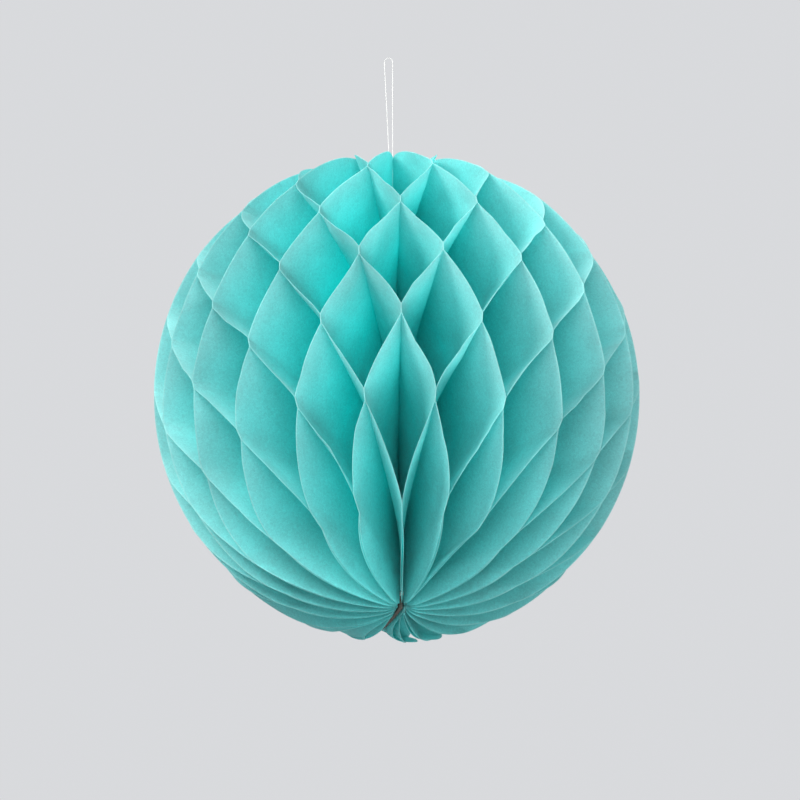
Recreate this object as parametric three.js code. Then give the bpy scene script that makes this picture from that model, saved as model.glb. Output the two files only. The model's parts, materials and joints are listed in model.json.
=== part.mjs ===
// A paper honeycomb ball that hangs on a loop of thread.
//
// Thin tissue leaves, each a half disc, are stitched together along one spine and glued to
// each other in rows. A stiff half-round cover board closes each end of the stack. Swinging
// one cover all the way round the spine fans the leaves out into a ball, and the covers
// meet back to back, where strips of adhesive hold them.
//
// Millimetres, +Z up along the spine. The origin is the top of the thread loop, where the
// ball hangs. The covers meet on the +Y side, in the plane of Y and Z.

import * as THREE from 'three';

// The ball.
const BALL_RADIUS = 125;
const HANG_HEIGHT = 231;            // from the middle of the ball up to the top of the loop
const SPINE_TOP = BALL_RADIUS - 8;  // the spine's end above and below the ball's middle

// The tissue leaves. The open cells between them meet in evenly spaced columns, the first and
// last of them on the covers, and each leaf stands midway between two columns.
const LEAF_COUNT = 38;
const FIRST_COLUMN = 0.7;           // degrees from the plane where the covers meet
const COLUMN_STEP = (360 - 2 * FIRST_COLUMN) / LEAF_COUNT;
const LEAF_INNER_RADIUS = 5;
const LEAF_INNER_THICKNESS = 0.01;
const LEAF_RIM_THICKNESS = 0.15;
const LEAF_ARC_SEGMENTS = 16;

// The cover boards, measured as angles about the spine because they thin towards it.
const COVER_RADIUS = 123.5;
const COVER_INNER_RADIUS = 6;
const COVER_NEAR_ANGLE = 0.2;       // from the plane where the covers meet
const COVER_FAR_ANGLE = 0.62;
const COVER_ARC_SEGMENTS = 20;

// The adhesive strips that hold the covers back to back.
const STRIP_SIZE = { reach: 14, height: 40, thickness: 0.2 };
const STRIP_MIDDLE_RADIUS = 97;
const STRIP_HEIGHTS = { upper: 38, lower: -38 };

// The thread: the stitched spine, its two knots and the hanging loop.
const SPINE_THREAD_RADIUS = 0.6;
const KNOT_RADIUS = 1.8;
const KNOT_GAP = 0.3;
const LOOP_KNOT_RADIUS = 1.3;
const LOOP_THREAD_RADIUS = 0.2;
const LOOP_TURN = -21;              // the loop's plane, turned about +Z from the X axis
const LOOP_TUBE_STEPS = 76;
const LOOP_TUBE_SIDES = 8;

// Half of the loop's centreline in its own plane, [across, up], from one strand's foot up to
// the round top. The other half mirrors it. Heights count from the origin.
const LOOP_HALF_ROUTE = [
  [0.45, -106.9], [0.47, -105], [0.55, -98], [0.78, -85], [1.06, -69], [1.36, -53],
  [1.66, -36], [1.92, -22], [2.14, -11], [2.28, -5.6], [2.2, -3.1], [1.55, -1.1],
];
const LOOP_TOP = [0, -0.2];

const TISSUE = { color: 0x45c2ba, roughness: 0.92, metalness: 0 };
const BOARD = { color: 0x8b857a, roughness: 0.95, metalness: 0 };
const THREAD = { color: 0xf2f2ef, roughness: 0.8, metalness: 0 };
const ADHESIVE = { color: 0xe6e4da, roughness: 0.45, metalness: 0 };

const radians = THREE.MathUtils.degToRad;

function material(look) {
  return new THREE.MeshStandardMaterial(look);
}

function named(name, geometry, look) {
  const mesh = new THREE.Mesh(geometry, material(look));
  mesh.name = name;
  return mesh;
}

// A half disc standing on its spine edge, in the plane of +X (out) and +Z (up). It is one
// millimetre thick along -Y until spread() gives it its real faces.
function halfDisc(radius, innerRadius, arcSegments) {
  const endAngle = Math.acos(innerRadius / radius);
  const outline = new THREE.Shape();
  outline.absarc(0, 0, radius, -endAngle, endAngle, false);
  outline.closePath();
  const geometry = new THREE.ExtrudeGeometry(outline, {
    depth: 1,
    bevelEnabled: false,
    curveSegments: arcSegments,
  });
  geometry.rotateX(Math.PI / 2);
  return geometry;
}

// Moves the two faces of a half disc: place(out, side) gives the sideways place of a point
// at distance out from the spine, on the face where side is 0 or 1.
function spread(geometry, place) {
  const position = geometry.attributes.position;
  for (let i = 0; i < position.count; i += 1) {
    const side = position.getY(i) < -0.5 ? 1 : 0;
    position.setY(i, place(position.getX(i), side));
  }
  geometry.computeVertexNormals();
  return geometry;
}

function leafGeometry() {
  const flat = halfDisc(BALL_RADIUS, LEAF_INNER_RADIUS, LEAF_ARC_SEGMENTS);
  const span = BALL_RADIUS - LEAF_INNER_RADIUS;
  return spread(flat, (out, side) => {
    const share = (out - LEAF_INNER_RADIUS) / span;
    const thickness = THREE.MathUtils.lerp(LEAF_INNER_THICKNESS, LEAF_RIM_THICKNESS, share);
    return (0.5 - side) * thickness;
  });
}

// A cover board on the anticlockwise side of its rest plane when turn is 1, on the clockwise
// side when it is -1.
function coverGeometry(turn) {
  const near = Math.tan(radians(COVER_NEAR_ANGLE));
  const far = Math.tan(radians(COVER_FAR_ANGLE));
  const flat = halfDisc(COVER_RADIUS, COVER_INNER_RADIUS, COVER_ARC_SEGMENTS);
  return spread(flat, (out, side) => {
    const outer = turn > 0 ? far : near;
    const inner = turn > 0 ? near : far;
    return turn * out * (side === 0 ? outer : inner);
  });
}

// A leaf or a cover turned to its place round the spine, counted from the +Y side.
function turned(mesh, angle) {
  mesh.rotation.z = radians(90 + angle);
  return mesh;
}

function strip(name, height) {
  const { reach, height: tall, thickness } = STRIP_SIZE;
  const mesh = named(name, new THREE.BoxGeometry(thickness, reach, tall), ADHESIVE);
  mesh.position.set(0, STRIP_MIDDLE_RADIUS, height);
  return mesh;
}

function spineThread() {
  const length = 2 * SPINE_TOP;
  const geometry = new THREE.CylinderGeometry(
    SPINE_THREAD_RADIUS, SPINE_THREAD_RADIUS, length, 10,
  );
  geometry.rotateX(Math.PI / 2);
  return named('spine_thread', geometry, THREAD);
}

function knot(name, radius, height) {
  const geometry = new THREE.IcosahedronGeometry(radius, 1);
  const mesh = named(name, geometry, THREAD);
  mesh.position.z = height;
  return mesh;
}

function hangingLoop() {
  const rising = LOOP_HALF_ROUTE.map(([across, up]) => new THREE.Vector3(-across, 0, up));
  const falling = LOOP_HALF_ROUTE.map(([across, up]) => new THREE.Vector3(across, 0, up));
  const top = new THREE.Vector3(LOOP_TOP[0], 0, LOOP_TOP[1]);
  const route = new THREE.CatmullRomCurve3([...rising, top, ...falling.reverse()]);
  const section = new THREE.Shape();
  for (let i = 0; i < LOOP_TUBE_SIDES; i += 1) {
    const angle = (2 * Math.PI * i) / LOOP_TUBE_SIDES;
    const x = LOOP_THREAD_RADIUS * Math.cos(angle);
    const y = LOOP_THREAD_RADIUS * Math.sin(angle);
    if (i === 0) {
      section.moveTo(x, y);
    } else {
      section.lineTo(x, y);
    }
  }
  section.closePath();
  const geometry = new THREE.ExtrudeGeometry(section, {
    steps: LOOP_TUBE_STEPS,
    extrudePath: route,
    bevelEnabled: false,
  });
  const mesh = named('hanging_loop', geometry, THREAD);
  mesh.rotation.z = radians(LOOP_TURN);
  return mesh;
}

// Everything below is measured from the middle of the ball.
function ball() {
  const group = new THREE.Group();
  group.add(turned(named('cover_fixed', coverGeometry(1), BOARD), 0));
  group.add(turned(named('cover_swinging', coverGeometry(-1), BOARD), 0));
  for (let i = 1; i <= LEAF_COUNT; i += 1) {
    const name = `tissue_leaf_${String(i).padStart(2, '0')}`;
    const angle = FIRST_COLUMN + (i - 0.5) * COLUMN_STEP;
    group.add(turned(named(name, leafGeometry(), TISSUE), angle));
  }
  for (const [place, height] of Object.entries(STRIP_HEIGHTS)) {
    group.add(strip(`adhesive_strip_${place}`, height));
  }
  const knotHeight = SPINE_TOP + KNOT_GAP + KNOT_RADIUS;
  group.add(spineThread());
  group.add(knot('spine_knot_top', KNOT_RADIUS, knotHeight));
  group.add(knot('spine_knot_bottom', KNOT_RADIUS, -knotHeight));
  const loopKnotHeight = knotHeight + KNOT_RADIUS + KNOT_GAP + LOOP_KNOT_RADIUS;
  group.add(knot('loop_knot', LOOP_KNOT_RADIUS, loopKnotHeight));
  group.position.z = -HANG_HEIGHT;
  return group;
}

const honeycombBall = new THREE.Group();
honeycombBall.add(hangingLoop());
honeycombBall.add(ball());

export default honeycombBall;
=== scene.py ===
"""A paper honeycomb ball on a loop of thread: the visible pieces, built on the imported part.

Lengths are in metres, in the part's own frame: +Z up the spine, the origin at the top of the
loop, and the two cover boards back to back on the +Y side.
"""

import json
import math

import bpy
import numpy as np
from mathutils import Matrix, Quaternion, Vector

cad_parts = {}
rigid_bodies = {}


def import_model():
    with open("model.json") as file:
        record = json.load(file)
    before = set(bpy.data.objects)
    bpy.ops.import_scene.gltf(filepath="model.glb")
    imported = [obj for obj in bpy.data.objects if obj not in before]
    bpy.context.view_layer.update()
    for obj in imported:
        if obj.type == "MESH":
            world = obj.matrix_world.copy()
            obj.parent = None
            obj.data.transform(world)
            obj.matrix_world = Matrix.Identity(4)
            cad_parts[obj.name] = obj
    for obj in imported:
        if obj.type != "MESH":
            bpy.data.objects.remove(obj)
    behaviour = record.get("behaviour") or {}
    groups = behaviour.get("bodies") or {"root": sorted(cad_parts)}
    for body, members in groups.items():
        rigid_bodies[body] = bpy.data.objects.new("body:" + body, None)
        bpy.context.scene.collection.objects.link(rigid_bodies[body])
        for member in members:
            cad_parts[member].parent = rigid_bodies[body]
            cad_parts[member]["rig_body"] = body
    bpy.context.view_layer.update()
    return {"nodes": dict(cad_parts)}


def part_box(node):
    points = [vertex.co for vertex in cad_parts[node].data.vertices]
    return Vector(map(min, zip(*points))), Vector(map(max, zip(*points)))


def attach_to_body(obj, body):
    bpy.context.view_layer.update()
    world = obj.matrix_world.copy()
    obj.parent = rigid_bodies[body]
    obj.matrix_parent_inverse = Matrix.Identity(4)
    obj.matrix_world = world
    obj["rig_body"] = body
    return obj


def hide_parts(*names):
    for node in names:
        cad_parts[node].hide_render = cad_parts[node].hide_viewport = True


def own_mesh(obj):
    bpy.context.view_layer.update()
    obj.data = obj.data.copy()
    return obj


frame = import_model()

MM = 0.001
SEED = 7

# ---------------------------------------------------------------- what the frame says

SPINE_LOW, SPINE_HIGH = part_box("spine_thread")
CENTRE = Vector((0, 0, (SPINE_LOW.z + SPINE_HIGH.z) / 2))
LEAF_NODES = sorted(n for n in frame["nodes"] if n.startswith("tissue_leaf_"))
LEAF_COUNT = len(LEAF_NODES)


def azimuth_of(node):
    """A node's bearing round the spine, in radians anticlockwise from +Y, from 0 to 2 pi."""
    points = np.array([v.co for v in frame["nodes"][node].data.vertices])
    x, y = points[:, 0].mean(), points[:, 1].mean()
    return math.atan2(-x, y) % (2 * math.pi)


def reach_of(node):
    """How far a node reaches from the ball's middle."""
    return max((v.co - CENTRE).length for v in frame["nodes"][node].data.vertices)


RADIUS = reach_of(LEAF_NODES[0])
COVER_RADIUS = reach_of("cover_fixed")
LEAF_AZIMUTH = [azimuth_of(n) for n in LEAF_NODES]
COLUMN_STEP = LEAF_AZIMUTH[1] - LEAF_AZIMUTH[0]
# Column g lies between leaf g and leaf g + 1. The first and last are on the covers.
COLUMN_AZIMUTH = [LEAF_AZIMUTH[0] + (g - 0.5) * COLUMN_STEP for g in range(LEAF_COUNT + 1)]


# ---------------------------------------------------------------- camera, light and floor

CAMERA_AZIMUTH = math.radians(-20.6)
CAMERA_ELEVATION = math.radians(-34.9)
CAMERA_DISTANCE = 12.6 * RADIUS
CAMERA_LENS = 137.3
CAMERA_SENSOR = 36
CAMERA_CLIP = 50
CAMERA_ROLL = math.radians(-1.46)
CAMERA_AIM = (1.6 * MM, -2.1 * MM)   # to the right of the ball's middle, and up

# Each light's name, its place from the ball's middle, size, power and colour. A place is how
# far towards the camera, how far to the camera's right, and how far up.
LIGHTS = (
    ("above", (0.3, -0.2, 1.5), 1.4, 9, (1.0, 0.99, 0.97)),
    ("key", (1.4, -1.1, 0.55), 0.9, 41, (1.0, 0.98, 0.96)),
    ("fill", (1.8, 0.0, -0.2), 1.4, 20, (0.97, 0.98, 1.0)),
    ("side", (0.7, 1.5, -0.6), 0.8, 6, (1.0, 1.0, 1.0)),
)
ROOM_LEVEL = (0.42, 0.43, 0.45, 1)   # the room's own light from the horizon, and from above
ROOM_ABOVE = (0.69, 0.70, 0.72, 1)
ROOM_BLEND = 0.4                     # the height at which it is fully the light from above

FLOOR_SIZE = 90
FLOOR_DROP = 1.5                     # below the ball's middle
FLOOR_COLOUR = (0.62, 0.62, 0.63, 1)


def camera_axes():
    """The camera's right, up and back directions."""
    a, e = CAMERA_AZIMUTH, CAMERA_ELEVATION
    back = Vector((math.sin(a) * math.cos(e), -math.cos(a) * math.cos(e), math.sin(e)))
    right = Vector((math.cos(a), math.sin(a), 0))
    return right, back.cross(right), back


def make_camera():
    data = bpy.data.cameras.new("camera")
    data.lens = CAMERA_LENS
    data.sensor_width = CAMERA_SENSOR
    data.clip_end = CAMERA_CLIP
    camera = bpy.data.objects.new("camera", data)
    bpy.context.scene.collection.objects.link(camera)
    right, up, back = camera_axes()
    aim = CENTRE + right * CAMERA_AIM[0] + up * CAMERA_AIM[1]
    camera.location = aim + back * CAMERA_DISTANCE
    camera.rotation_mode = "QUATERNION"
    level = back.to_track_quat("Z", "Y")
    camera.rotation_quaternion = level @ Quaternion((0, 0, 1), CAMERA_ROLL)
    bpy.context.scene.camera = camera


def area_light(name, place, size, power, colour):
    """A round lamp at a place, facing the ball's middle."""
    data = bpy.data.lights.new(name, "AREA")
    data.shape = "DISK"
    data.size = size
    data.energy = power
    data.color = colour
    light = bpy.data.objects.new(name, data)
    bpy.context.scene.collection.objects.link(light)
    light.location = place
    light.rotation_mode = "QUATERNION"
    light.rotation_quaternion = (CENTRE - place).to_track_quat("-Z", "Y")


def make_light():
    world = bpy.data.worlds.new("studio")
    world.use_nodes = True
    nodes, links = world.node_tree.nodes, world.node_tree.links
    direction = nodes.new("ShaderNodeTexCoord")
    split = nodes.new("ShaderNodeSeparateXYZ")
    sky = nodes.new("ShaderNodeValToRGB")
    links.new(direction.outputs["Generated"], split.inputs["Vector"])
    links.new(split.outputs["Z"], sky.inputs["Fac"])
    links.new(sky.outputs["Color"], nodes["Background"].inputs["Color"])
    sky.color_ramp.elements[0].position = 0.0
    sky.color_ramp.elements[0].color = ROOM_LEVEL
    sky.color_ramp.elements[1].position = ROOM_BLEND
    sky.color_ramp.elements[1].color = ROOM_ABOVE
    bpy.context.scene.world = world
    right, _, back = camera_axes()
    level = Vector((back.x, back.y, 0)).normalized()
    for name, (nearer, across, up), size, power, colour in LIGHTS:
        place = CENTRE + level * nearer + right * across + Vector((0, 0, up))
        area_light(name, place, size, power, colour)
    bpy.context.scene.view_settings.view_transform = "Standard"


def make_floor():
    place = (0, 0, CENTRE.z - FLOOR_DROP)
    bpy.ops.mesh.primitive_plane_add(size=FLOOR_SIZE, location=place)
    floor = bpy.context.object
    floor.name = "floor"
    material = bpy.data.materials.new("floor_pale")
    material.use_nodes = True
    shader = material.node_tree.nodes["Principled BSDF"]
    shader.inputs["Base Color"].default_value = FLOOR_COLOUR
    shader.inputs["Roughness"].default_value = 0.9
    floor.data.materials.append(material)


# ---------------------------------------------------------------- materials


def new_material(name):
    """An empty material, and a function that adds a node with its settings and inputs."""
    material = bpy.data.materials.new(name)
    material.use_nodes = True
    tree = material.node_tree
    tree.nodes.clear()

    def add(kind, inputs=None, **settings):
        node = tree.nodes.new(kind)
        for key, value in settings.items():
            setattr(node, key, value)
        for key, value in (inputs or {}).items():
            if isinstance(value, bpy.types.NodeSocket):
                tree.links.new(value, node.inputs[key])
            else:
                node.inputs[key].default_value = value
        return node

    return material, add


def tissue_material(name, rim, deep, translucency):
    """Thin dyed paper: fibres, cloudy colour and fine creases. Its colour pales towards the rim as
    painted sheen, and is deeper inside the ball and near the poles as painted shade.
    """
    material, add = new_material(name)
    place = add("ShaderNodeTexCoord").outputs["Object"]
    # Painted sheen and painted shade: by the distance from the middle, with heights shrunk, the
    # paper is paler towards the rim as painted sheen, and deeper with less red near the middle and
    # the poles as painted shade.
    off = add("ShaderNodeVectorMath", {0: place, 1: tuple(CENTRE)}, operation="SUBTRACT")
    flat = add("ShaderNodeVectorMath", {0: off.outputs["Vector"], 1: (1, 1, 0.8)},
               operation="MULTIPLY")
    reach = add("ShaderNodeVectorMath", {0: flat.outputs["Vector"]}, operation="LENGTH")
    painted_sheen_share = add("ShaderNodeMapRange", {
        "Value": reach.outputs["Value"], "From Min": 0.62 * RADIUS, "From Max": 1.02 * RADIUS,
    })
    dye_shade_and_sheen = add("ShaderNodeMix", {
        "Factor": painted_sheen_share.outputs["Result"], 6: (*deep, 1), 7: (*rim, 1),
    }, data_type="RGBA")
    cloud = add("ShaderNodeTexNoise", {"Vector": place, "Scale": 24.0, "Detail": 7.0,
                                       "Roughness": 0.62})
    fibre = add("ShaderNodeTexNoise", {"Vector": place, "Scale": 900.0, "Detail": 3.0,
                                       "Distortion": 1.2})
    both = add("ShaderNodeMath", {0: cloud.outputs["Fac"], 1: fibre.outputs["Fac"]},
               operation="ADD")
    shade = add("ShaderNodeMapRange", {
        "Value": both.outputs["Value"], "From Min": 0.75, "From Max": 1.25,
        "To Min": 0.84, "To Max": 1.05,
    })
    colour = add("ShaderNodeVectorMath", {0: dye_shade_and_sheen.outputs[2], 1: shade.outputs["Result"]},
                 operation="MULTIPLY")
    crease = add("ShaderNodeTexNoise", {"Vector": place, "Scale": 120.0, "Detail": 7.0,
                                        "Roughness": 0.6})
    bump = add("ShaderNodeBump", {"Height": crease.outputs["Fac"], "Strength": 0.6,
                                  "Distance": 0.0008})
    skin = add("ShaderNodeBsdfPrincipled", {
        "Base Color": colour.outputs["Vector"], "Roughness": 0.8, "Specular IOR Level": 0.3,
        "Normal": bump.outputs["Normal"], "Sheen Weight": 0.1, "Sheen Roughness": 0.5,
        "Sheen Tint": (1, 1, 1, 1),
    })
    through = add("ShaderNodeBsdfTranslucent", {"Color": colour.outputs["Vector"]})
    mix = add("ShaderNodeMixShader", {0: translucency, 1: skin.outputs["BSDF"],
                                      2: through.outputs["BSDF"]})
    add("ShaderNodeOutputMaterial", {"Surface": mix.outputs["Shader"]})
    return material


def board_material():
    """Grey board pulped from mixed paper, with darker and paler flecks."""
    material, add = new_material("cover_board")
    place = add("ShaderNodeTexCoord").outputs["Object"]
    pulp = add("ShaderNodeTexNoise", {"Vector": place, "Scale": 420.0, "Detail": 8.0,
                                      "Roughness": 0.7})
    tone = add("ShaderNodeValToRGB", {"Fac": pulp.outputs["Fac"]})
    tone.color_ramp.elements[0].position = 0.3
    tone.color_ramp.elements[0].color = (0.055, 0.05, 0.042, 1)
    tone.color_ramp.elements[1].position = 0.7
    tone.color_ramp.elements[1].color = (0.13, 0.12, 0.10, 1)
    flecks = add("ShaderNodeTexVoronoi", {"Vector": place, "Scale": 260.0})
    fleck = add("ShaderNodeMapRange", {"Value": flecks.outputs["Distance"], "From Min": 0.05,
                                       "From Max": 0.16, "To Min": 1.0, "To Max": 0.0})
    paint = add("ShaderNodeMix", {"Factor": fleck.outputs["Result"], 6: tone.outputs["Color"],
                                  7: (0.19, 0.18, 0.16, 1)}, data_type="RGBA")
    bump = add("ShaderNodeBump", {"Height": pulp.outputs["Fac"], "Strength": 0.5,
                                  "Distance": 0.0002})
    skin = add("ShaderNodeBsdfPrincipled", {
        "Base Color": paint.outputs[2], "Roughness": 0.9, "Normal": bump.outputs["Normal"],
    })
    add("ShaderNodeOutputMaterial", {"Surface": skin.outputs["BSDF"]})
    return material


def thread_material():
    """White cotton, its plies soft and slightly uneven."""
    material, add = new_material("thread")
    place = add("ShaderNodeTexCoord").outputs["Object"]
    fuzz = add("ShaderNodeTexNoise", {"Vector": place, "Scale": 2600.0, "Detail": 3.0})
    tone = add("ShaderNodeValToRGB", {"Fac": fuzz.outputs["Fac"]})
    tone.color_ramp.elements[0].color = (0.52, 0.52, 0.50, 1)
    tone.color_ramp.elements[1].color = (0.70, 0.70, 0.68, 1)
    bump = add("ShaderNodeBump", {"Height": fuzz.outputs["Fac"], "Strength": 0.4,
                                  "Distance": 0.0001})
    skin = add("ShaderNodeBsdfPrincipled", {
        "Base Color": tone.outputs["Color"], "Roughness": 0.75, "Sheen Weight": 0.3,
        "Normal": bump.outputs["Normal"],
    })
    add("ShaderNodeOutputMaterial", {"Surface": skin.outputs["BSDF"]})
    return material


def adhesive_material():
    """Paper tape with a smooth layer of glue on it."""
    material, add = new_material("adhesive")
    place = add("ShaderNodeTexCoord").outputs["Object"]
    grain = add("ShaderNodeTexNoise", {"Vector": place, "Scale": 300.0, "Detail": 5.0})
    tone = add("ShaderNodeValToRGB", {"Fac": grain.outputs["Fac"]})
    tone.color_ramp.elements[0].color = (0.40, 0.37, 0.29, 1)
    tone.color_ramp.elements[1].color = (0.50, 0.48, 0.41, 1)
    bump = add("ShaderNodeBump", {"Height": grain.outputs["Fac"], "Strength": 0.3,
                                  "Distance": 0.0002})
    skin = add("ShaderNodeBsdfPrincipled", {
        "Base Color": tone.outputs["Color"], "Roughness": 0.38, "Coat Weight": 0.3,
        "Normal": bump.outputs["Normal"],
    })
    add("ShaderNodeOutputMaterial", {"Surface": skin.outputs["BSDF"]})
    return material


# ---------------------------------------------------------------- mesh helpers

LEAST_SPAN = 0.3 * MM             # how narrow a row of a sheet or board may get


def new_piece(name, points, faces, materials):
    mesh = bpy.data.meshes.new(name)
    mesh.from_pydata([tuple(p) for p in points], [], faces)
    mesh.update()
    piece = bpy.data.objects.new(name, mesh)
    bpy.context.scene.collection.objects.link(piece)
    for material in materials:
        mesh.materials.append(material)
    return piece


def apply_modifiers(piece):
    graph = bpy.context.evaluated_depsgraph_get()
    mesh = bpy.data.meshes.new_from_object(piece.evaluated_get(graph))
    old = piece.data
    piece.modifiers.clear()
    piece.data = mesh
    mesh.name = piece.name
    bpy.data.meshes.remove(old)


def shade_smooth(piece, sharp_angle):
    piece.data.polygons.foreach_set("use_smooth", [True] * len(piece.data.polygons))
    piece.data.set_sharp_from_angle(angle=sharp_angle)


def attach(piece, node):
    """Makes a piece stand for a CAD node, on that node's body."""
    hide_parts(node)
    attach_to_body(piece, frame["nodes"][node]["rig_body"])


def grid_faces(rows, columns, first=0, flip=False):
    index = np.arange(rows * columns).reshape(rows, columns) + first
    corners = [index[:-1, :-1], index[:-1, 1:], index[1:, 1:], index[1:, :-1]]
    if flip:
        corners.reverse()
    return np.stack(corners, -1).reshape(-1, 4)


# ---------------------------------------------------------------- threads

THREAD = 0.4 * MM                 # the hanging loop's diameter
SPINE_TWINE = 1.2 * MM
THREAD_SIDES = 10
THREAD_SHARP = math.radians(70)   # edges sharper than this stay sharp
PLY_STEP = 0.42                   # along a thread between its rings of points, in diameters
PLY_TURN = 4.2                    # along a thread for one turn of its plies, in diameters
PLY_WAIST = 0.74                  # a thread's narrowest width, as a share of its widest
FIRST_SIDE = (0.31, 0.52, 0.8)    # a direction that no thread starts in
LOOP_STEPS = 12
LOOP_TURN = math.radians(-21)     # the loop's plane, turned about +Z from the X axis

# Half of the loop's centreline in its own plane, (across, up), from one strand's foot up to
# the round top. The other half mirrors it.
LOOP_HALF_ROUTE = [
    (0.45 * MM, -106.9 * MM), (0.47 * MM, -105 * MM), (0.55 * MM, -98 * MM),
    (0.78 * MM, -85 * MM), (1.06 * MM, -69 * MM), (1.36 * MM, -53 * MM),
    (1.66 * MM, -36 * MM), (1.92 * MM, -22 * MM), (2.14 * MM, -11 * MM),
    (2.28 * MM, -5.6 * MM), (2.2 * MM, -3.1 * MM), (1.55 * MM, -1.1 * MM),
]
LOOP_TOP = (0, -0.2 * MM)

KNOT_STEPS = 100
KNOT_OPEN = 0.35                  # radians between each end of a knot and where they would meet
TAIL_STEPS = 8
TAIL_SHORTEST = 0.1
TAIL_FIRST = (0.75, 0.5, 0.45)    # a tail's direction: across, across and outwards
TAIL_LAST = (-0.8, 0.35, 0.5)
LOOP_TIE = 0.55 * MM              # the thread's thickness in the loop's knot
SPINE_TIE = 0.8 * MM
SPINE_TAIL = 3.2 * MM


def smooth_path(points, steps):
    """A curve through given points, with so many steps between each two."""
    points = [np.array(p, float) for p in points]
    ends = [2 * points[0] - points[1], *points, 2 * points[-1] - points[-2]]
    path = []
    for a, b, c, d in zip(ends, ends[1:], ends[2:], ends[3:]):
        for t in np.arange(steps) / steps:
            path.append(0.5 * (2 * b + (c - a) * t + (2 * a - 5 * b + 4 * c - d) * t ** 2
                               + (3 * b - a - 3 * c + d) * t ** 3))
    path.append(points[-1])
    return np.array(path)


def lengths_along(path):
    steps = np.linalg.norm(np.diff(path, axis=0), axis=1)
    return np.concatenate([[0], np.cumsum(steps)])


def evenly(path, spacing):
    """The same path with its points about that far apart."""
    lengths = lengths_along(path)
    count = max(int(round(lengths[-1] / spacing)), 2)
    places = np.linspace(0, lengths[-1], count + 1)
    return np.stack([np.interp(places, lengths, path[:, i]) for i in range(3)], -1)


def thread_piece(name, path, diameter, material):
    """Two plies twisted together along a path, closed at both ends."""
    path = evenly(path, PLY_STEP * diameter)
    forward = np.gradient(path, axis=0)
    forward /= np.linalg.norm(forward, axis=1)[:, None]
    turn = 2 * math.pi * lengths_along(path) / (PLY_TURN * diameter)
    around = 2 * math.pi * np.arange(THREAD_SIDES) / THREAD_SIDES
    side = np.cross(forward[0], FIRST_SIDE)
    points = []
    for place, ahead, twist in zip(path, forward, turn):
        side = side - ahead * (side @ ahead)
        side /= np.linalg.norm(side)
        other = np.cross(ahead, side)
        bulge = (1 - PLY_WAIST) * np.abs(np.cos(around - twist))
        reach = diameter / 2 * (PLY_WAIST + bulge)
        ring = np.cos(around)[:, None] * side + np.sin(around)[:, None] * other
        points.append(place + ring * reach[:, None])
    rings = len(points)
    index = np.arange(rings * THREAD_SIDES).reshape(rings, THREAD_SIDES)
    ahead = np.roll(index, -1, axis=1)
    faces = np.stack([index[:-1], ahead[:-1], ahead[1:], index[1:]], -1).reshape(-1, 4)
    caps = [index[0][::-1].tolist(), index[-1].tolist()]
    points = np.concatenate(points)
    piece = new_piece(name, points, faces.tolist() + caps, [material])
    shade_smooth(piece, THREAD_SHARP)
    return piece


def loop_path():
    across = Vector((math.cos(LOOP_TURN), math.sin(LOOP_TURN), 0))
    route = [(-a, z) for a, z in LOOP_HALF_ROUTE] + [LOOP_TOP]
    route += [(a, z) for a, z in reversed(LOOP_HALF_ROUTE)]
    return smooth_path([across * a + Vector((0, 0, z)) for a, z in route], LOOP_STEPS)


def make_loop(material):
    path = loop_path()
    piece = thread_piece("hanging_thread", path, THREAD, material)
    attach(piece, "hanging_loop")


def knot_path(middle, radius, thickness, tail):
    """An overhand knot round the Z axis, as a trefoil. Its tails point away from the ball."""
    t = np.linspace(KNOT_OPEN, 2 * math.pi - KNOT_OPEN, KNOT_STEPS)
    shape = np.stack([np.sin(t) + 2 * np.sin(2 * t), np.cos(t) - 2 * np.cos(2 * t),
                      -np.sin(3 * t)], -1)
    path = shape * (radius - thickness / 2) / 3 + np.array(middle)
    if tail:
        outward = np.array((1, 1, math.copysign(1, middle.z - CENTRE.z)))
        reach = np.linspace(1, TAIL_SHORTEST, TAIL_STEPS)[:, None] * tail
        first = path[0] + reach * outward * TAIL_FIRST
        last = path[-1] + reach[::-1] * outward * TAIL_LAST
        path = np.concatenate([first, path, last])
    return path


def make_knot(name, node, thickness, tail, material):
    low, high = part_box(node)
    middle = (low + high) / 2
    path = knot_path(middle, (high.z - low.z) / 2, thickness, tail)
    attach(thread_piece(name, path, thickness, material), node)


def make_threads():
    material = thread_material()
    make_loop(material)
    make_knot("loop_tie", "loop_knot", LOOP_TIE, 0, material)
    make_knot("spine_tie_top", "spine_knot_top", SPINE_TIE, SPINE_TAIL, material)
    make_knot("spine_tie_bottom", "spine_knot_bottom", SPINE_TIE, SPINE_TAIL, material)
    spine = np.array([(CENTRE.x, CENTRE.y, z) for z in (SPINE_LOW.z, SPINE_HIGH.z)])
    attach(thread_piece("spine_stitching", spine, SPINE_TWINE, material),
           "spine_thread")


# ---------------------------------------------------------------- cover boards and tape

# A board's two faces, from the plane where the covers meet, and its edge along the spine.
BOARD_GAP = 0.12 * MM             # the near face, at the rim
BOARD_THIN = 0.8 * MM             # the far face, where the stitching presses it
BOARD_FAR = 0.95 * MM             # and at most
BOARD_SPREAD = math.tan(math.radians(0.62))
BOARD_INNER = 1.4 * MM            # from the spine
BOARD_ROWS = 72
BOARD_COLUMNS = 18
BOARD_NIBBLE = 0.07 * MM          # how uneven the cut rim is
BOARD_WORN = 0.12 * MM            # how far the edges are rounded off
BOARD_BEVEL = math.radians(50)    # edges sharper than this are rounded off
BOARD_SHARP = math.radians(60)
TAPE_CORNER = 7                   # how square the tape's corners are
TAPE_STEPS = 96
TAPE_RINGS = (0.35, 0.7, 0.94, 1.0)
TAPE_RIM = 0.75                   # the tape's thickness at its cut edge, as a share
TAPE_UNEVEN = 0.25                # how much thinner it is here and there, as a share


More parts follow.
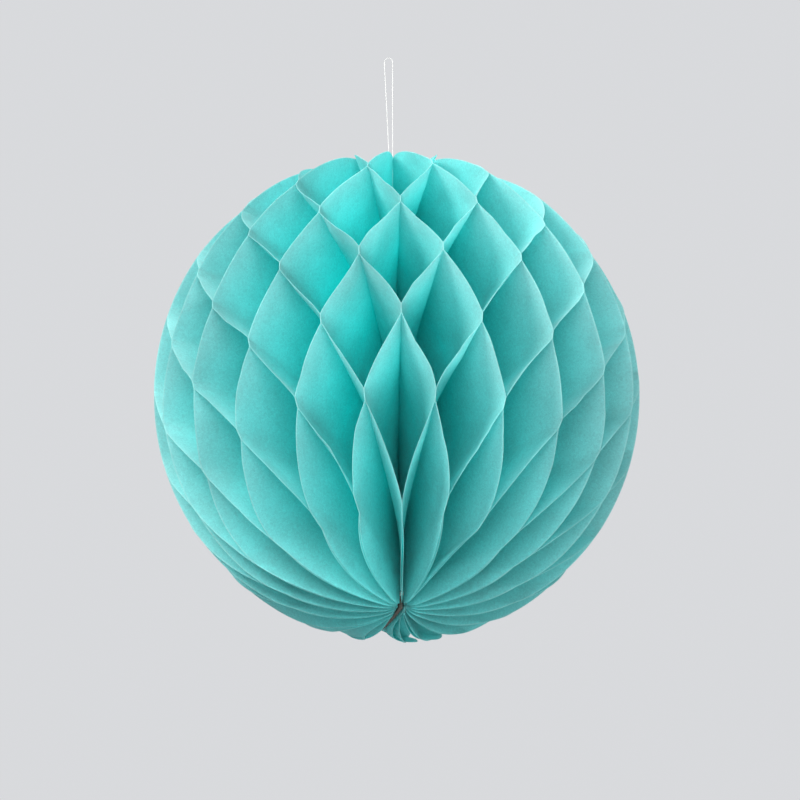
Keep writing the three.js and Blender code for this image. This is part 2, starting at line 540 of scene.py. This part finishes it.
def make_cover(name, node, side, material):
    """side is 1 for the board anticlockwise of the plane where the covers meet."""
    random = np.random.default_rng(SEED + side)
    height = math.sqrt(COVER_RADIUS ** 2 - BOARD_INNER ** 2)
    rows = height * np.sin(np.linspace(-math.pi / 2, math.pi / 2, BOARD_ROWS))
    share = np.linspace(0, 1, BOARD_COLUMNS)
    nibble = random.normal(0, BOARD_NIBBLE, BOARD_ROWS)
    rim = np.sqrt(np.maximum(COVER_RADIUS ** 2 - rows ** 2, BOARD_INNER ** 2)) + nibble
    rim = np.clip(rim, BOARD_INNER + LEAST_SPAN, COVER_RADIUS)
    out = BOARD_INNER + (rim - BOARD_INNER)[:, None] * share[None, :]
    up = np.broadcast_to((rows - sag(rows))[:, None], out.shape) + CENTRE.z
    far = board_reach(out)
    near = BOARD_GAP * out / COVER_RADIUS
    points = []
    for across in (near, far):
        points.append(np.stack([-side * across, out, up], -1).reshape(-1, 3))
    points = np.concatenate(points)
    count = out.size
    faces = grid_faces(*out.shape, flip=side < 0).tolist()
    faces += grid_faces(*out.shape, first=count, flip=side > 0).tolist()
    index = np.arange(count).reshape(out.shape)
    edge = np.concatenate([index[0, :-1], index[:-1, -1], index[-1, :0:-1], index[:0:-1, 0]])
    for a, b in zip(edge, np.roll(edge, -1)):
        quad = [b, a, a + count, b + count]
        faces.append([int(i) for i in (quad if side > 0 else quad[::-1])])
    piece = new_piece(name, points, faces, [material])
    soften(piece, BOARD_WORN)
    attach(piece, node)


def soften(piece, width):
    bevel = piece.modifiers.new("worn edge", "BEVEL")
    bevel.width = width
    bevel.segments = 2
    bevel.limit_method = "ANGLE"
    bevel.angle_limit = BOARD_BEVEL
    apply_modifiers(piece)
    shade_smooth(piece, BOARD_SHARP)


def make_tape(name, node, material):
    """A strip of tape with rounded corners and a slightly uneven surface."""
    random = np.random.default_rng(SEED + len(name))
    low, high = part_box(node)
    middle, half = (low + high) / 2, (high - low) / 2
    angle = np.linspace(0, 2 * math.pi, TAPE_STEPS, endpoint=False)
    power = 2 / TAPE_CORNER
    across = np.sign(np.cos(angle)) * np.abs(np.cos(angle)) ** power
    along = np.sign(np.sin(angle)) * np.abs(np.sin(angle)) ** power
    points, faces = [], []
    for side in (-1, 1):
        first = len(points) + 1
        points.append(middle + Vector((side * half.x, 0, 0)))
        for ring in TAPE_RINGS:
            thin = side * half.x * (TAPE_RIM if ring == TAPE_RINGS[-1] else 1.0)
            for a, b in zip(across, along):
                lift = thin * (1 - TAPE_UNEVEN * random.random())
                points.append(middle + Vector((lift, half.y * a * ring, half.z * b * ring)))
        for i in range(TAPE_STEPS):
            j = (i + 1) % TAPE_STEPS
            fan = [first - 1, first + i, first + j]
            faces.append(fan if side > 0 else fan[::-1])
            for k in range(len(TAPE_RINGS) - 1):
                a, b = first + k * TAPE_STEPS, first + (k + 1) * TAPE_STEPS
                quad = [a + i, b + i, b + j, a + j]
                faces.append(quad if side > 0 else quad[::-1])
    outer = 1 + (len(TAPE_RINGS) - 1) * TAPE_STEPS
    other = outer + 1 + len(TAPE_RINGS) * TAPE_STEPS
    for i in range(TAPE_STEPS):
        j = (i + 1) % TAPE_STEPS
        faces.append([outer + i, outer + j, other + j, other + i])
    piece = new_piece(name, points, faces, [material])
    shade_smooth(piece, BOARD_SHARP)
    attach(piece, node)


def make_covers():
    board = board_material()
    make_cover("cover_board_fixed", "cover_fixed", 1, board)
    make_cover("cover_board_free", "cover_swinging", -1, board)
    tape = adhesive_material()
    for place in ("upper", "lower"):
        make_tape(f"tape_{place}", f"adhesive_strip_{place}", tape)


# ---------------------------------------------------------------- tissue leaves

# Leaves count from 1, and columns from 0. Rows are the glued rows: at row k a leaf is glued to
# one neighbour, and at the next row to the other.
LINES = range(-2, 5)              # the rows that fall on a leaf
LINE_PITCH = 0.294 * RADIUS       # between glued rows, along the flat leaf
LINE_OFFSET = -0.133 * RADIUS     # of row 1/2 from the ball's middle
TOP_ROW_RISE = 0.038 * RADIUS     # how much higher than even spacing the top row lies
GLUE_HEIGHT = 5 * MM
GLUE_GAP = 0.09 * MM              # from a glued row's middle to each of its two leaves
PAIR_GAP = 0.45 * MM              # from a pair's middle to each leaf, below the lowest row

# The sheets of paper.
PAPER = 0.13 * MM
HIGHLIGHT_BAND = 0.7 * MM               # how far in from the cut edge the paper is paler, as a painted highlight
RIM_SAMPLES = 40
GLUED_STEPS = 4                   # rows of points along a glued strip
OPEN_STEPS = 17                   # and between two strips
PAPER_SHARP = math.radians(50)
INNER_RADIUS = 1.0 * MM

# The ball's shape.
SHORTENING = 0.357                # how much the open cells pull the rows together at the rim
SAG = 3 * MM                      # how much lower than round the bottom pole hangs
PEAK = 2 * MM                     # how much higher than round the top rises
HOLE_RADIUS = 2.6 * MM            # of the hole round the knot at each pole
HOLE_TOP = 10 * MM                # how far below the pole the leaves begin to stand back
HOLE_BEND = 4 * MM
DIMPLE = 3 * MM                   # how deep each pole is drawn in
DIMPLE_WIDTH = 4 * MM
BEND = 0.08                       # how softly a leaf's rim bends away from a glued row
FOLD_DEPTH = 13 * MM              # from the rim in to where a leaf bends fully softly

# The ball isn't quite even. Its rows lean, more so near the top, and its columns twist.
FRONT = math.pi + CAMERA_AZIMUTH  # the bearing of the side that the camera sees
LEAN_LOW = -0.011 * RADIUS
LEAN_HIGH = 0.07 * RADIUS
LEAN_ROWS = 5                     # from the lowest row up to where they lean most
TWIST = math.radians(0.216)
JITTER_TURN = math.radians(0.4)
JITTER_RISE = 1.2 * MM

# Below the middle, the leaves left of the front slump away from it. They stay paired from the
# lowest glued row to the pole, where the pairs are pushed apart on each side of the front.
SLUMP = math.radians(10)
SLUMP_PEAK = math.radians(68)     # from the front
SLUMP_REACH = math.radians(42)
SLUMP_BY_ROW = {-2: 1.0, -1: 0.3, 0: 0.3}
PUSH_LEFT = math.radians(12)
PUSH_RIGHT = math.radians(6)
PUSH_TURN = math.radians(18)      # from the front to where the push is full
PUSH_FULL = math.radians(70)
PUSH_NONE = math.radians(190)
STRAY = {21: math.radians(-16)}   # the column of a pair that strays at the bottom, and how far

# Near the covers, the pairs come apart below the lowest glued row and crumple. Their rims are
# folded over sideways. Heights below the middle are shares of the radius.
APART_REACH = math.radians(48)
CRUMPLE = 1.2 * MM
COMB = math.radians(-16)          # how far the rims are folded over
COMB_DEPTH = 16 * MM
COMB_FROM = 0.55                  # the height where the fold starts
COMB_OVER = 0.25                  # and how much lower it is full
COMB_END = 0.1                    # above the pole, where it lessens again
COMB_UNEVEN = 0.2

# The slot at the bottom pole, where the leaves beside the covers stand off them.
SLOT = 1.2 * MM
SLOT_REACH = 14 * MM              # from the spine to where the slot begins to close
SLOT_LEAVES = 4                   # on each side of the covers
SLOT_PACK = 0.25 * MM
SLOT_FROM = 0.85
SLOT_OVER = 0.1

# Ripples and soft folds in the paper. The places of the folds are shares of the radius.
LEAF_SEED, PAIR_SEED, COMB_SEED = 1000 * SEED, 2000 * SEED, 3000 * SEED
RIPPLE = 0.9 * MM
RIPPLE_CORE = 8 * MM              # nearer the spine than this, a ripple turns a leaf no further
WAVES = 7
WAVES_ALONG = (12, 95)            # radians per metre
WAVES_ACROSS = (10, 60)
CREASES = 10
CREASE_WIDTH = 4 * MM
CREASE_DEPTH = 0.9 * MM
CREASE_SLOPE = (0.15, 0.85)       # in half turns
CREASE_HEIGHT = (-0.9, 0.9)
CREASE_OUT = (0.55, 1.0)

TISSUE_RIM_SHEEN = (0.48, 0.845, 0.84)  # the dyed paper's colour near the rim, paled as painted sheen, and deep inside, with less red as painted shade
TISSUE_DEEP_SHADE = (0.08, 0.92, 0.91)
EDGE_RIM_HIGHLIGHT = (0.54, 0.88, 0.87)     # the same for the paper's cut edge, paler still as a painted highlight
EDGE_DEEP_HIGHLIGHT = (0.38, 0.88, 0.87)
TISSUE_THROUGH = 0.6              # how much of the light goes through


def glued_column(leaf, k):
    """The column where a leaf is glued at row k."""
    return leaf if (leaf + k) % 2 else leaf - 1


def slump_at(bearing):
    """How far a bearing slumps away from the front, with no jump anywhere."""
    share = (FRONT - bearing - SLUMP_PEAK) / SLUMP_REACH
    return -SLUMP * math.cos(share * math.pi / 2) ** 2 if abs(share) < 1 else 0.0


def apart_at(bearing):
    """How far a pair near the covers comes apart, from 0 to 1. The covers are at 0 and 2 pi."""
    off = min(bearing, 2 * math.pi - bearing)
    return math.cos(off / APART_REACH * math.pi / 2) ** 2 if off < APART_REACH else 0.0


def sag(heights):
    """How far the ball hangs down from round, at heights from its middle."""
    return (heights / RADIUS) ** 2 * np.where(heights < 0, SAG, -PEAK)


def pushed(column):
    """The bearing at which the pair of leaves of an odd column meets the bottom pole."""
    bearing = COLUMN_AZIMUTH[column]
    off = abs(bearing - FRONT)
    share = min(max((off - PUSH_FULL) / (PUSH_NONE - PUSH_FULL), 0), 1)
    fade = 1 - share * share * (3 - 2 * share)
    left = min(max((FRONT - bearing) / PUSH_TURN, -1), 1)
    push = (PUSH_RIGHT - PUSH_LEFT) / 2 - (PUSH_RIGHT + PUSH_LEFT) / 2 * math.sin(left * math.pi / 2)
    return bearing + fade * push + STRAY.get(column, 0)


def glued_spots():
    """Each glued spot's (bearing, height on the flat leaf), shared by the two leaves there."""
    random = np.random.default_rng(SEED)
    spots = {}
    for g, bearing in enumerate(COLUMN_AZIMUTH):
        for k in LINES:
            turn, rise = random.normal(0, 1, 2)
            share = min((k - LINES[0]) / LEAN_ROWS, 1)
            lean = LEAN_LOW + (LEAN_HIGH - LEAN_LOW) * share
            height = LINE_PITCH * (k - 0.5) + LINE_OFFSET
            height += lean * math.sin(bearing - FRONT) + rise * JITTER_RISE
            if k == LINES[-1]:
                height += TOP_ROW_RISE
            moved = bearing
            if 0 < g < LEAF_COUNT:
                moved += turn * JITTER_TURN + TWIST * (k - 0.5)
                moved += SLUMP_BY_ROW.get(k, 0.0) * slump_at(bearing)
            spots[(g, k)] = (moved, height)
    return spots


SPOTS = glued_spots()


def leaf_stops(leaf):
    """Where a leaf changes course: (height, bearing, side of the glue) at its strips' ends."""
    own = LEAF_AZIMUTH[leaf - 1]
    lowest = glued_column(leaf, LINES[0])
    apart = apart_at(own)
    foot = pushed(lowest) + apart * (own - pushed(lowest))
    stops = [(-RADIUS, foot, 1.0 if leaf > lowest else -1.0)]
    for k in LINES:
        column = glued_column(leaf, k)
        bearing, height = SPOTS[(column, k)]
        side = 1.0 if leaf > column else -1.0
        if abs(height) < RADIUS - GLUE_HEIGHT:
            stops.append((height - GLUE_HEIGHT / 2, bearing, side))
            stops.append((height + GLUE_HEIGHT / 2, bearing, side))
    stops.append((RADIUS, own, 0.0))
    return stops


def leaf_profile(leaf):
    """Heights of the mesh rows, and at each the leaf's bearing, side and freedom to ripple."""
    stops = leaf_stops(leaf)
    rows = []
    for n, (here, there) in enumerate(zip(stops, stops[1:])):
        glued = n % 2 == 1
        steps = GLUED_STEPS if glued else OPEN_STEPS
        t = np.arange(steps) / steps
        if n == 0:
            t = 1 - np.cos(t * math.pi / 2)
        if n == len(stops) - 2:
            t = np.sin(t * math.pi / 2)
        eased = (1 - BEND) * t + BEND * t * t * (3 - 2 * t)
        free = 0 * t if glued else np.sin(math.pi * t)
        here, there = np.array(here), np.array(there)
        stretch = here + (there - here) * np.stack([t, eased, eased], -1)
        rows.append(np.column_stack([stretch, free]))
    rows.append([[*stops[-1], 0.0]])
    return np.concatenate(rows).T


def soft_bearing(leaf, rows):
    """A leaf's bearing well inside its rim, where it sways from one glued row to the next."""
    stops = leaf_stops(leaf)
    pairs = zip(stops[1:-1:2], stops[2:-1:2])
    middles = [((a[0] + b[0]) / 2, a[1]) for a, b in pairs]
    heights, bearings = np.array([stops[0][:2], *middles, stops[-1][:2]]).T
    n = np.clip(np.searchsorted(heights, rows, side="right") - 1, 0, len(heights) - 2)
    t = (rows - heights[n]) / (heights[n + 1] - heights[n])
    return bearings[n] + (bearings[n + 1] - bearings[n]) * t * t * (3 - 2 * t)


def waves(random, rows, out):
    """A smooth random field over the leaf, about one unit high."""
    field = np.zeros((len(rows), out.shape[1]))
    for _ in range(WAVES):
        along, across = random.uniform(*WAVES_ALONG), random.uniform(*WAVES_ACROSS)
        phase = random.uniform(0, 2 * math.pi)
        turn = random.choice([-1, 1])
        field += np.sin(along * rows[:, None] + turn * across * out + phase)
    return field / math.sqrt(WAVES)


def creases(random, rows, out):
    """Soft straight folds across the leaf, each highest along its own line."""
    field = np.zeros((len(rows), out.shape[1]))
    for _ in range(CREASES):
        slope = random.uniform(*CREASE_SLOPE) * math.pi
        height = random.uniform(*CREASE_HEIGHT) * RADIUS
        place = random.uniform(*CREASE_OUT) * RADIUS
        off = (rows[:, None] - height) * math.sin(slope) + (out - place) * math.cos(slope)
        field += random.choice([-1, 1]) * np.exp(-np.abs(off) / CREASE_WIDTH)
    return field


def inner_edge(rows):
    """How far a leaf's inner edge stands off the spine at each height."""
    share = np.clip((np.abs(rows) - (RADIUS - HOLE_TOP)) / HOLE_BEND, 0, 1)
    return INNER_RADIUS + (HOLE_RADIUS - INNER_RADIUS) * share * share * (3 - 2 * share)


def board_reach(out):
    """How far a cover board's outer face stands from the plane where the covers meet."""
    return np.clip(BOARD_SPREAD * out, BOARD_THIN, BOARD_FAR)


def off_the_boards(leaf, rows, out, x):
    """Keeps the leaves beside the covers clear of the boards and of the slot between them."""
    beside = min(leaf - 1, LEAF_COUNT - leaf)
    if beside >= SLOT_LEAVES:
        return x
    low = np.clip((-rows / RADIUS - SLOT_FROM) / SLOT_OVER, 0, 1)[:, None]
    share = low * np.clip(2 - out / SLOT_REACH, 0, 1)
    clear = board_reach(out) + GLUE_GAP
    if beside:
        clear = share * (clear + SLOT + beside * SLOT_PACK)
    else:
        clear = clear + share * SLOT
    return np.minimum(x, -clear) if leaf <= LEAF_COUNT / 2 else np.maximum(x, clear)


def uneven(seed, rows, out):
    """How far the paper ripples sideways, the same for the same seed."""
    random = np.random.default_rng(seed)
    return RIPPLE * waves(random, rows, out) + CREASE_DEPTH * creases(random, rows, out)


def combed(leaf, rows, out):
    """How far a leaf's lower rim is folded over sideways, where the leaves are crumpled."""
    uneven_rim = waves(np.random.default_rng(COMB_SEED + leaf), rows, out)
    near = np.clip(1 - (out[:, -1:] - out) / COMB_DEPTH, 0, 1) ** 2
    low = np.clip((-rows / RADIUS - COMB_FROM) / COMB_OVER, 0, 1)
    low = low * np.clip((1 + rows / RADIUS) / COMB_END, 0, 1)
    return COMB * low[:, None] * near * (1 + COMB_UNEVEN * uneven_rim)


def leaf_points(leaf):
    """A leaf's points, as rows up the leaf and columns from the spine out to the rim."""
    rows, bearing, side, freedom = leaf_profile(leaf)
    flat = np.minimum(np.abs(rows) / RADIUS, 1)
    rim = RADIUS * np.sqrt((1 - flat ** 2) / (1 - (SHORTENING * flat) ** 2))
    inner = inner_edge(rows)
    across = np.linspace(0, 1, RIM_SAMPLES)
    span = np.maximum(rim - inner, LEAST_SPAN)
    out = inner[:, None] + span[:, None] * across[None, :]
    edge = out[:, -1] - np.minimum(HIGHLIGHT_BAND, span / RIM_SAMPLES / 2)
    out = np.insert(out, RIM_SAMPLES - 1, edge, axis=1)

    soft = np.clip((out[:, -1:] - out) / FOLD_DEPTH, 0, 1)
    soft = soft * soft * (3 - 2 * soft)
    turn = bearing[:, None] + soft * (soft_bearing(leaf, rows) - bearing)[:, None]

    apart = apart_at(LEAF_AZIMUTH[leaf - 1])
    turn += apart * combed(leaf, rows, out)

    pair = glued_column(leaf, LINES[0])
    own, shared = uneven(LEAF_SEED + leaf, rows, out), uneven(PAIR_SEED + pair, rows, out)
    below = (rows < SPOTS[(pair, LINES[0])][1])[:, None]
    shared = shared + apart * (own * (1 + CRUMPLE / RIPPLE) - shared)
    ripple = np.where(below, shared, own) * freedom[:, None] * (out / RADIUS)
    gap = GLUE_GAP + np.where(below, PAIR_GAP, 0) * freedom[:, None]
    turn += (ripple + side[:, None] * gap) / np.maximum(out, RIPPLE_CORE)

    up = rows[:, None] * np.sqrt(1 - (SHORTENING * out / RADIUS) ** 2)
    drawn_in = DIMPLE * np.exp(-((out / DIMPLE_WIDTH) ** 2)) * (flat ** 4)[:, None]
    up -= np.sign(rows)[:, None] * drawn_in + sag(rows)[:, None]
    x, y = -out * np.sin(turn), out * np.cos(turn)
    return np.stack([off_the_boards(leaf, rows, out, x), y, up + CENTRE.z], -1)


def make_leaf(leaf, materials):
    name = f"honeycomb_leaf_{leaf:02d}"
    points = leaf_points(leaf)
    rows, columns = points.shape[:2]
    faces = grid_faces(rows, columns)
    piece = new_piece(name, points.reshape(-1, 3), faces.tolist(), materials)
    # The outermost band of faces and the solidified cut edge take the paler edge material, a painted
    # highlight along the rim.
    pale = np.zeros((rows - 1, columns - 1), int)
    pale[:, -1] = 1
    piece.data.polygons.foreach_set("material_index", pale.ravel())
    thick = piece.modifiers.new("paper", "SOLIDIFY")
    thick.thickness = PAPER
    thick.offset = 0
    thick.material_offset_rim = 1
    apply_modifiers(piece)
    shade_smooth(piece, PAPER_SHARP)
    attach(piece, LEAF_NODES[leaf - 1])
    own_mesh(piece)


def make_leaves():
    face = tissue_material("tissue", TISSUE_RIM_SHEEN, TISSUE_DEEP_SHADE, TISSUE_THROUGH)
    edge = tissue_material("tissue_edge_highlight", EDGE_RIM_HIGHLIGHT, EDGE_DEEP_HIGHLIGHT, TISSUE_THROUGH)
    for leaf in range(1, LEAF_COUNT + 1):
        make_leaf(leaf, (face, edge))


make_camera()
make_threads()
make_light()
make_floor()
make_covers()
make_leaves()
